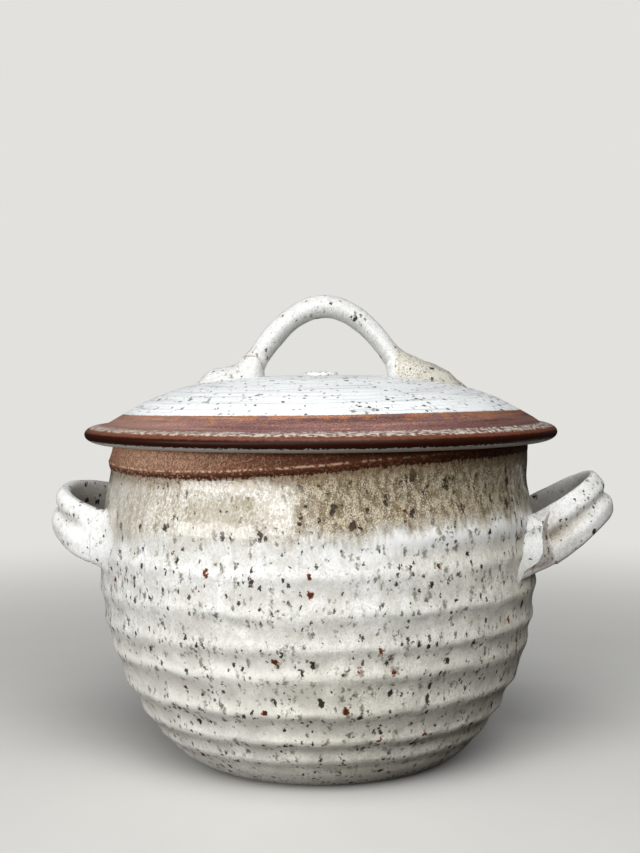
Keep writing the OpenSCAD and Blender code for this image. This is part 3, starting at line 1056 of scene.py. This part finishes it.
def speckled(colour, spot, iron=1.0, smudge=1.0, rust=1.0, tall=1.6):
    """The colour with grey, dark and rusty specks, each times the usual number; also where it is dark."""
    crowd = cloud(spot, 15.0).step(0.3, 0.7) * 1.4 + 0.3
    dust, _ = specks(spot, cell=1.1, size=0.42, share=0.16 * smudge, tall=1.4, shift=1.1)
    colour = blend(colour, DUST, dust.step(0.0, 0.6) * 0.6)
    faint, tone = specks(spot, cell=3.0, size=1.9, share=0.6 * smudge * crowd, tall=tall * 1.2, shift=3.3)
    colour = blend(colour, blend(OLIVE, BROWN, tone.step(0.6, 1.0)), faint.step(0.0, 0.8) * 0.85)
    fine, tone = specks(spot, cell=2.4, size=1.05, share=0.26 * iron * crowd, tall=tall, shift=7.7)
    fine = fine.step(0.0, 0.4)
    weak = blend(BROWN, OLIVE, tone.step(0.7, 0.8))
    colour = blend(colour, blend(IRON, weak, tone.step(0.35, 0.6)), fine * 0.92)
    large, tone = specks(spot, cell=4.2, size=1.7, share=0.3 * iron * crowd, tall=tall, shift=9.1)
    large = large.step(0.0, 0.35)
    colour = blend(colour, blend(IRON, BROWN, tone.step(0.5, 1.0)), large * 0.95)
    blot, _ = specks(spot, cell=5.0, size=2.0, share=0.045 * rust * crowd, tall=1.2, shift=5.9)
    colour = blend(colour, RUST, blot.step(0.0, 0.3) * 0.95)
    colour = blend(colour, BURNT, blot.step(0.15, 0.45) * 0.85)
    return colour, fine.math("MAXIMUM", large)


print("dot colours set")

# %% [markdown]
# Every finish ends in the same way: a colour, a roughness, a height in millimetres and a share of gloss go
# into one shader. The height goes through a Bump node, whose distance of one millimetre keeps the relief
# at its true size. Most of this glaze is satin, so the shader mirrors little, which keeps dark glaze dark;
# where the glaze lies thick, a clear coat puts the shine on top.

# %% Finish a material
SHEEN = 0.15
COAT_ROUGH = 0.09
PLAIN_SHEEN = 0.5


def finish_of(name, paint):
    """Material whose paint function returns colour, roughness, height and gloss."""
    made = bpy.data.materials.new(name)
    made.use_nodes = True
    Wire.tree = made.node_tree
    made.node_tree.nodes.clear()
    colour, rough, height, gloss = paint()
    relief = Wire.node("Bump", {}, {"Height": height, "Distance": MM, "Strength": 1.0})
    satin = {"Base Color": colour, "Roughness": rough, "Normal": relief, "Specular IOR Level": SHEEN}
    coat = {"Coat Weight": gloss, "Coat Roughness": COAT_ROUGH}
    shader = Wire.node("BsdfPrincipled", {}, {**satin, **coat})
    Wire.node("OutputMaterial", {}, {"Surface": shader})
    print(f"{name}: {len(made.node_tree.nodes)} nodes")
    return made


print("satin mirrors", SHEEN / PLAIN_SHEEN, "of what a new shader does")

# %% [markdown]
# ## The pot's glaze
#
# From the foot up: a satin off-white over everything, whitened low on the left by painted light, tinted
# warm low down and on the right by painted warm bounce light, and greyer in the grooves, partly from thin
# glaze and partly as painted shade; a glossy zone of buff runs under the rim, pale and pebbled on the left,
# with a patch of painted shade, and brown-grey on the right; and the iron-brown collar with a dark, ragged
# lower edge. Heights and the side of the pot choose between them, and noise drawn out downwards makes the
# borders run as glaze does. The off-white and the buff are functions of their own, because the handles wear
# them too: all pieces share one frame, so the clouds go on across the joint.

# %% The off-white
def off_white(spot):
    """Satin white, a little uneven, and the grain in it."""
    grain = cloud(spot, 0.8, (1, 1, 1.3), 3.0)
    mottle = cloud(spot, 2.2, (1, 1, 1.4), 3.0)
    patch = cloud(spot, 5.0, (1, 1, 1.3), 3.0)
    white = coats(
        tint(246, 247, 246),
        ((236, 236, 233), cloud(spot, 26.0).step(0.35, 0.68)),
        ((208, 208, 203), patch.step(0.5, 0.7) * 0.6),
        ((205, 204, 198), mottle.step(0.5, 0.66) * 0.5),
        ((198, 196, 189), grain.step(0.46, 0.62) * 0.5),
    )
    return white, grain


print("off-white ready")

# %% The buff runs
buff_line = 116.5
buff_fade = (-5.0, 7.0)


def pale_buff(spot, wander, fine):
    """The buff on the left: streaks, then pebbles, a darker patch of painted shade and a few brown drips.
    """
    x, _, z = spot.split()
    threads = cloud(spot, 0.75, (1, 1, 5), 3.0)
    pebbles = cloud(spot, 1.2, (1, 1, 1.3), 2.0)
    smears = cloud(spot, 5.5, (1, 1, 6), 2.0)
    pebbled = x.step(-98.0, -68.0)
    # Painted shade: a darker patch left of the gleam, where less light falls.
    painted_dim_patch = (x + wander * 40.0).hill(-42.0, 26.0) * z.step(137.0, 130.0)
    drip, _ = specks(spot, cell=7.0, size=2.0, share=0.16, tall=3.2, shift=4.4)
    return coats(
        tint(224, 220, 210),
        ((176, 167, 146), smears.step(0.44, 0.66) * 0.85),
        ((168, 157, 134), threads.step(0.5, 0.66) * 0.35),
        ((246, 243, 236), threads.step(0.48, 0.34) * 0.55),
        ((158, 148, 126), fine.step(0.5, 0.6) * 0.65),
        ((160, 149, 126), pebbles.step(0.52, 0.64) * pebbled * 0.5),
        ((252, 250, 245), pebbles.step(0.46, 0.35) * pebbled * 0.6),
        ((164, 154, 132), painted_dim_patch * (0.3 + 0.5 * fine)),
        ((92, 62, 42), drip.step(0.0, 0.6) * 0.8),
    )


def deep_buff(spot, runs, fine):
    """The buff in the middle and on the right: browner, with pale runs and painted glints, and dark stains.
    """
    mottle = cloud(spot, 2.6, (1, 1, 1.6), 3.0)
    stain, _ = specks(spot, cell=4.4, size=2.2, share=0.55, tall=1.8, shift=2.2)
    return coats(
        tint(192, 180, 154),
        ((124, 108, 82), mottle.step(0.4, 0.6) * 0.9),
        # Pale runs, and pale flecks that are painted glints.
        ((234, 228, 213), (fine * 0.7 + runs * 0.3).step(0.46, 0.37) * 0.75),
        ((88, 70, 50), fine.step(0.51, 0.61) * 0.7),
        ((42, 27, 16), stain.step(0.0, 0.45) * 0.92),
    )


def buff_runs(spot):
    """Buff zone under the rim: its colour, and how far a place lies above its ragged border."""
    x, _, z = spot.split()
    fine = cloud(spot, 0.5, (1, 1, 1.3), 3.0)
    runs = cloud(spot, 1.6, (1, 1, 6), 3.0)
    wander = cloud(spot, 7.0, (1, 1, 3)) - 0.5
    side = (x + wander * 34.0).step(-24.0, 4.0)
    slant = 5.0 * x.step(-62.0, -96.0) - 5.5 * x.step(0.0, 55.0)
    level = z + slant + wander * 11.0 + (runs - 0.5) * 10.0
    return blend(pale_buff(spot, wander, fine), deep_buff(spot, runs, fine), side), level - buff_line


print("buff starts at", buff_line, "mm")

# %% The glaze of the wall
def wall_glaze(spot, outer):
    """White and buff of the pot's wall; also the buff's share and the white's grain."""
    x, _, z = spot.split()
    white, grain = off_white(spot)
    buff_tone, over = buff_runs(spot)
    # thick is painted light: the white is whitened low on the left and middle, where light from the low
    # left falls.
    thick = z.step(78.0, 55.0) * z.step(12.0, 26.0) * x.step(35.0, -30.0)
    # Painted warm bounce light: the white is tinted warm low down and on the right side.
    painted_warm_bounce_low = z.step(105.0, 45.0) * (0.5 + 0.5 * x.step(-60.0, 20.0))
    painted_warm_bounce = painted_warm_bounce_low.math("MAXIMUM", x.step(10.0, 90.0))
    # thin greys the grooves, partly from thin glaze and partly as painted shade in the grooves.
    thin = mark("relief") * cloud(spot, 12.0).step(0.3, 0.6)
    white = washed(coats(white, ((252, 251, 248), thick * 0.5)), tint(255, 250, 238), painted_warm_bounce * 0.85)
    white = coats(
        white,
        ((184, 180, 169), thin * 0.5),
        ((251, 252, 251), over.hill(-5.0, 7.0) * x.step(-15.0, 30.0) * 0.8),
    )
    buff = over.step(*buff_fade) * outer
    return blend(white, buff_tone, buff), buff, grain


print("wall glaze ready")

# %% [markdown]
# The collar's glaze is full of iron. Painted light makes it paler on the left, and painted shade under the
# brim makes it darker on the right. It gathers in a dark fringe along its lower edge, from which drops run
# out over the buff, and a painted highlight lies in cream dashes along the bead.

# %% The iron glaze of the collar
def iron_brown(spot):
    """Mottled iron glaze with painted light on the left and painted shade on the right, and the grain in
    it.
    """
    x, _, _ = spot.split()
    grain = cloud(spot, 0.7, detail=4.0)
    coarse = cloud(spot, 1.5, detail=3.0)
    patch = cloud(spot, 9.0, (1, 1, 0.5))
    glints = (grain * 0.5 + coarse * 0.5).step(0.47, 0.38)
    colour = coats(
        tint(136, 92, 66),
        ((148, 92, 60), patch.step(0.35, 0.7)),
        # Painted light on the left and painted shade on the right.
        ((214, 172, 144), x.step(-10.0, -80.0) * 0.78 * x.step(-112.0, -82.0)),
        ((70, 38, 24), x.step(-85.0, 45.0) * 0.82),
        ((72, 38, 24), grain.step(0.51, 0.61) * 0.65),
        ((78, 42, 27), coarse.step(0.52, 0.63) * 0.45),
        ((220, 182, 152), glints * (0.15 + 0.5 * x.step(20.0, -80.0))),
    )
    return colour, grain


def collar_glaze(spot, colour, ragged, outer):
    """The wall's colour with the collar over it; also the collar's share and how thick it lies."""
    x, _, z = spot.split()
    dots = cloud(spot, 1.2, (1.3, 1.3, 0.7), 3.0)
    edge = edge_low + (edge_high - edge_low) * x.step(edge_from, edge_to)
    rise = z - edge + (cloud(spot, 26.0) - 0.5) * 1.4
    drops = (dots * 0.5 + ragged * 0.5).step(0.5, 0.58) * rise.step(-4.5, -0.5)
    colour = coats(
        colour,
        ((142, 118, 86), rise.step(-7.0, -0.5) * outer * 0.6),
        ((92, 62, 38), drops * outer * 0.75),
    )
    iron, grain = iron_brown(spot)
    # A painted highlight along the bead, in cream dashes, stronger on the left.
    painted_bead_highlight = cloud(spot, 1.8).step(0.42, 0.58) * x.step(75.0, 0.0)
    iron = coats(
        iron,
        ((160, 96, 62), rise.hill(2.6, 3.0) * 0.5),
        ((60, 29, 15), rise.step(6.0, 0.8) * dots.step(0.37, 0.49) * 0.95),
        ((238, 208, 178), rise.hill(bead_above, 0.8) * painted_bead_highlight * 0.7),
    )
    brown = (rise + (ragged - 0.5) * 3.4).step(-0.35, 0.35)
    return blend(colour, iron, brown), brown, (0.16 + 0.06 * grain) * brown


print("collar glaze ready")

# %% Glaze of the pot
CLAY = tint(171, 138, 106)


def pot_paint():
    spot = place()
    _, _, z = spot.split()
    outer = 1 - mark("inside")
    ragged = cloud(spot, 1.3, (1, 1, 2.2))
    peel = cloud(spot, 1.5, (1, 1, 1.3))
    colour, buff, grain = wall_glaze(spot, outer)
    colour, dark = speckled(colour, spot, iron=1 - 0.5 * buff, smudge=1 - 0.6 * buff)
    colour, brown, crust = collar_glaze(spot, colour, ragged, outer)
    bare = (z + (ragged - 0.5)).step(1.1, 0.6)
    colour = blend(colour, CLAY, bare)
    rough = 0.45 + 0.12 * brown + 0.1 * (grain - 0.5) + 0.3 * bare
    height = (0.05 * grain + 0.13 * peel) * (1 - 0.65 * buff) - 0.1 * dark + crust
    return colour, rough, height, 0.85 * buff * (1 - brown)


pot_glaze = finish_of("pot_glaze", pot_paint)

# %% [markdown]
# ## The lid's glaze
#
# White over the dome, with grey lines in the turning grooves, partly from thin glaze and partly as painted
# shade. Past a radius of about 97 mm the brim is dipped in the iron glaze, not quite square: orange-brown
# where it starts, plum in the middle, then a pale broken line and a dark red-brown nose. Low on the nose it
# is pale again. Painted light makes the brim paler on the left and painted shade darker on the right.

# %% The brim
dip_r = 97
seat_glaze_r = 103
streak_z = seat_z + 8.1
nose_dark = seat_z + 5.9
nose_low = seat_z + 2.0


def brim_glaze(spot, across, r, dipped, ragged, grain):
    """Iron glaze of the brim; also where its dark nose and its pale broken line lie."""
    x, _, z = spot.split()
    band = cloud(across, 2.2, detail=3.0)
    patch = cloud(spot, 6.0, detail=3.0)
    mottle = grain * 0.6 + band * 0.5
    plum = (patch * 30.0 + band * 6.0 + dipped - dip_r).step(17.0, 24.0)
    nose = (z + (ragged - 0.5) * 1.2).step(nose_dark + 0.5, nose_dark - 0.7)
    streak = (z + (ragged - 0.5) * 1.4).hill(streak_z, 1.4).step(0.0, 0.8) * r.step(lip_r - 2.0, lip_r)
    line = streak * cloud(spot, 2.0, detail=5.0).step(0.4, 0.6)
    iron = coats(
        tint(174, 120, 88),
        ((136, 102, 99), plum),
        ((84, 52, 42), mottle.step(0.55, 0.66) * 0.75),
        ((206, 164, 138), mottle.step(0.5, 0.4) * 0.6),
        # Painted light makes the brim paler on the left, and painted shade makes it darker on the right.
        ((192, 152, 134), x.step(-20.0, -100.0) * 0.4),
        ((92, 58, 46), x.step(10.0, 105.0) * 0.45),
        ((108, 58, 36), z.step(streak_z, streak_z - 1.0) * 0.85),
        ((44, 16, 7), nose),
        ((214, 208, 195), line * 0.95),
    )
    return iron, nose, line


print("brim dipped from", dip_r, "mm on")

# %% Glaze of the lid
def lid_paint():
    spot = place()
    x, y, z = spot.split()
    r = (x * x + y * y).math("SQRT")
    ragged = cloud(spot, 1.6)
    grain = cloud(spot, 0.8, detail=3.0)
    across = Wire.node("CombineXYZ", {}, {0: r, 1: x * 0.05, 2: y * 0.05})
    lines = cloud(across, 1.5, detail=3.0)
    white = coats(
        tint(246, 249, 250),
        ((238, 241, 241), cloud(spot, 16.0)),
        # Grey lines in the turning grooves: partly thin glaze, partly painted shade.
        ((192, 197, 200), lines.step(0.53, 0.68) * 0.7),
        ((206, 208, 207), grain.step(0.5, 0.66) * 0.4),
    )
    colour, dark = speckled(white, spot, iron=0.75, smudge=0.35, rust=0.0, tall=1.0)

    dipped = r - y * 0.028 - x * 0.012
    brown = (dipped + (ragged - 0.5) * 1.3).step(dip_r - 0.25, dip_r + 0.25)
    low = (z + (ragged - 0.5) * 2.0).step(nose_low + 0.25, nose_low - 0.25)
    iron, nose, line = brim_glaze(spot, across, r, dipped, ragged, grain)
    colour = coats(colour, ((190, 186, 178), low * brown))
    colour = blend(colour, iron, brown * (1 - low))

    seat = z.step(seat_z + 0.6, seat_z + 0.3) * r.step(ring_in - 2.0, ring_in - 1.0)
    bare = seat * (r + (ragged - 0.5)).step(seat_glaze_r, seat_glaze_r - 0.6)
    colour = blend(colour, CLAY, bare)
    rough = 0.42 + (0.1 * nose - 0.12) * brown * (1 - low) + 0.1 * (grain - 0.5) + 0.4 * bare
    height = 0.05 * grain - 0.14 * lines * (1 - brown) - 0.1 * dark + 0.12 * line
    return colour, rough, height, 0.0


lid_glaze = finish_of("lid_glaze", lid_paint)

# %% [markdown]
# ## The handles' glaze and the bare clay
#
# The handles carry the same white with fewer but blacker dots, and where their pads reach the wall the
# `root` mark brings in the buff. On the sharp ridges of the pads the glaze pulls thin and the clay shows
# through: those ridges carry the `edge` mark, which also puts dust and painted shade in the dip behind
# them.
# The inner sides carry `under`, where the glaze is darkened as painted shade, and the `valley` along a
# strap makes it browner, from pooled glaze and painted shade in the crease. A piece without a mark reads it
# as 0.
# The arch is a little greyer, and past a place along x a cream tone and painted shade darken the right.
# The ring under the lid has no glaze at all, so that it can't stick in the kiln.

# %% Glaze of the handles, and clay
def handle_paint(veil, cream, cream_from, thin):
    """Handle glaze: veil greys it, cream tints and shades it past a place on x, thin paints shade inside.
    """
    spot = place()
    # cream is partly a cream tone and partly painted shade on the right side.
    cream = cream * spot.split()[0].step(cream_from, cream_from + 3.0)
    white, grain = off_white(spot)
    buff_tone, over = buff_runs(spot)
    stained = cloud(spot, 14.0).step(0.35, 0.65) * cream + veil * 0.5
    white = coats(
        white,
        ((249, 250, 249), 0.2),
        ((190, 191, 190), veil),
        ((204, 201, 190), cream),
        ((160, 150, 130), grain.step(0.48, 0.62) * stained),
        # Browner in the valley and at the roots: pooled glaze and painted shade in the crease.
        ((146, 135, 115), mark("valley") * (0.4 + 0.5 * grain)),
        # Painted shade on the inner side of a loop or of the arch.
        ((118, 112, 102), mark("under") * (thin + 0.3 * grain)),
    )
    white = blend(white, buff_tone, over.step(*buff_fade) * mark("root").step(0.45, 0.95))
    # edge: clay through thin glaze on the ridges, and dust with painted shade in the dip behind them.
    white = coats(white, ((150, 118, 90), mark("edge") * grain.step(0.25, 0.5) * 0.85))
    colour, dark = speckled(white, spot, iron=0.9, smudge=0.35, rust=0.1, tall=1.2)
    return colour, 0.42 + 0.12 * (grain - 0.5), 0.12 * grain - 0.1 * dark, 0.0


def clay_paint():
    spot = place()
    grain = cloud(spot, 0.8, detail=4.0)
    colour = coats(
        CLAY,
        ((138, 104, 74), cloud(spot, 8.0)),
        ((198, 168, 134), grain.step(0.55, 0.75) * 0.7),
    )
    return colour, 0.82 + 0.1 * (grain - 0.5), 0.16 * grain, 0.0


# thin sets the painted shade on the inner sides; cream is a cream tone with painted shade on the right.
side_look = {"veil": 0.0, "cream": 0.08, "cream_from": 112.0, "thin": 0.6}
arch_look = {"veil": 0.33, "cream": 0.9, "cream_from": 35.5, "thin": 0.36}
handle_glaze = finish_of("handle_glaze", lambda: handle_paint(**side_look))
arch_glaze = finish_of("arch_glaze", lambda: handle_paint(**arch_look))
bare_clay = finish_of("bare_clay", clay_paint)

# %% [markdown]
# ## Putting it together
#
# Every piece stands for the solid of the same part, takes that part's finish and moves with its body: the
# pot and its handles stay where they stand, and all that belongs to the lid lifts off with it.

# %% Dress the solids
finishes = {
    "pot_glaze": pot_glaze,
    "handle_glaze": handle_glaze,
    "lid_glaze": lid_glaze,
    "lid_handle_glaze": arch_glaze,
    "bare_stoneware": bare_clay,
}
dressing = {
    "vessel": [
        (pot, "pot", "pot_glaze"),
        (right_strap, "right_handle", "handle_glaze"),
        (right_front_pad, "right_handle_front_pad", "handle_glaze"),
        (right_back_pad, "right_handle_back_pad", "handle_glaze"),
        (left_strap, "left_handle", "handle_glaze"),
        (left_front_pad, "left_handle_front_pad", "handle_glaze"),
        (left_back_pad, "left_handle_back_pad", "handle_glaze"),
    ],
    "cover": [
        (lid, "lid", "lid_glaze"),
        (locating_ring, "lid_locating_ring", "bare_stoneware"),
        (arch, "lid_handle", "lid_handle_glaze"),
        (arch_left_pad, "lid_handle_left_pad", "lid_handle_glaze"),
        (arch_right_pad, "lid_handle_right_pad", "lid_handle_glaze"),
        (button, "lid_button", "lid_handle_glaze"),
    ],
}
for body, pieces in dressing.items():
    for piece, node, slot in pieces:
        piece.data.materials.append(finishes[slot])
        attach(piece, body)
        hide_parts(node)
    print(len(pieces), "pieces ride on", body)

# %% [markdown]
# ## The studio
#
# A round sheet of pale paper lies under the pot and takes its shadow. Far from the pot the sheet goes over
# to a plain glow of the same tone as the air, so that the camera sees no horizon. Only the camera sees the
# paper pale: to all other rays it is dim, which keeps the underside of the pot in shade.

# %% Paper
BACKDROP = tint(226, 225, 221)
DIM = tint(46, 40, 32)
sheet_rows = [(300, 0), (900, 0), (2000, 0), (4000, 0), (4000, -20), (1000, -20)]
glow_from, glow_to = 260.0, 900.0

floor = skin("studio_floor", turned(sheet_rows, few_turns), sharp=30)
paper = bpy.data.materials.new("studio_paper")
paper.use_nodes = True
paper.node_tree.nodes.clear()
Wire.tree = paper.node_tree
spot = place()
x, y, _ = spot.split()
seen = Wire.node("LightPath", output="Is Camera Ray")
far = (x * x + y * y).math("SQRT").step(glow_from, glow_to) * seen
pale = coats(tint(224, 223, 219), ((218, 217, 213), cloud(spot, 60.0)))
sheet = Wire.node("BsdfPrincipled", {}, {"Base Color": blend(DIM, pale, seen), "Roughness": 0.9})
glow = Wire.node("Emission", {}, {"Color": BACKDROP, "Strength": 1.0})
Wire.node("OutputMaterial", {}, {"Surface": Wire.node("MixShader", {}, {0: far, 1: sheet, 2: glow})})
floor.data.materials.append(paper)
floor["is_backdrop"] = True

# %% Air
AIR = (0.94, 0.97, 1, 1)
AIR_LIGHT = 0.05

world = bpy.data.worlds.new("studio_air")
world.use_nodes = True
world.node_tree.nodes.clear()
Wire.tree = world.node_tree
light = Wire.node("Background", {}, {"Color": AIR, "Strength": AIR_LIGHT})
shown = Wire.node("Background", {}, {"Color": BACKDROP, "Strength": 1.0})
seen = Wire.node("LightPath", output="Is Camera Ray")
Wire.node("OutputWorld", {}, {"Surface": Wire.node("MixShader", {}, {0: seen, 1: light, 2: shown})})
bpy.context.scene.world = world
print("air gives", AIR_LIGHT, "of its light")

# %% [markdown]
# Four large soft lamps make one broad arc of light, from low on the left over the front to high above,
# which turns the right side of the pot dark. A small one in front makes the square gleam on the shoulder.
# Lamps stand nearly two metres away, so their places and sizes are in metres.

# %% Lamps
AIM = Vector((0, 0, 0.11))


def soft_lamp(name, spot, wide, tall, watts):
    lamp = bpy.data.lights.new(name, "AREA")
    lamp.shape = "RECTANGLE"
    lamp.size = wide
    lamp.size_y = tall
    lamp.energy = watts
    made = bpy.data.objects.new(name, lamp)
    made.location = spot
    made.rotation_euler = (AIM - made.location).to_track_quat("-Z", "Y").to_euler()
    bpy.context.scene.collection.objects.link(made)
    print(f"{name}: {watts} W")


soft_lamp("key", (-0.5, -1.46, 1.3), 1.2, 1.2, 14)
soft_lamp("low", (-1.5, -1.1, 0.22), 1.4, 0.42, 15.2)
soft_lamp("front", (0.65, -1.4, 1.25), 1.2, 1.2, 13.5)
soft_lamp("high", (0.0, -0.9, 1.8), 1.2, 1.2, 14.5)
soft_lamp("gleam", (-0.6, -1.6, 0.44), 0.5, 0.48, 4.4)
bpy.context.scene.view_settings.view_transform = "Standard"

# %% [markdown]
# ## The size
#
# Glaze adds no size. The box round all pieces is measured once more and written beside the box of the bare
# solids: no side of it should lie outside.

# %% Compare the size with the solids, and finish
look_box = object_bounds()
grown = [[round((b - a) / MM, 2) for a, b in zip(*pair)] for pair in zip(cad_box, look_box)]
print("visual minus solid, mm:", grown)
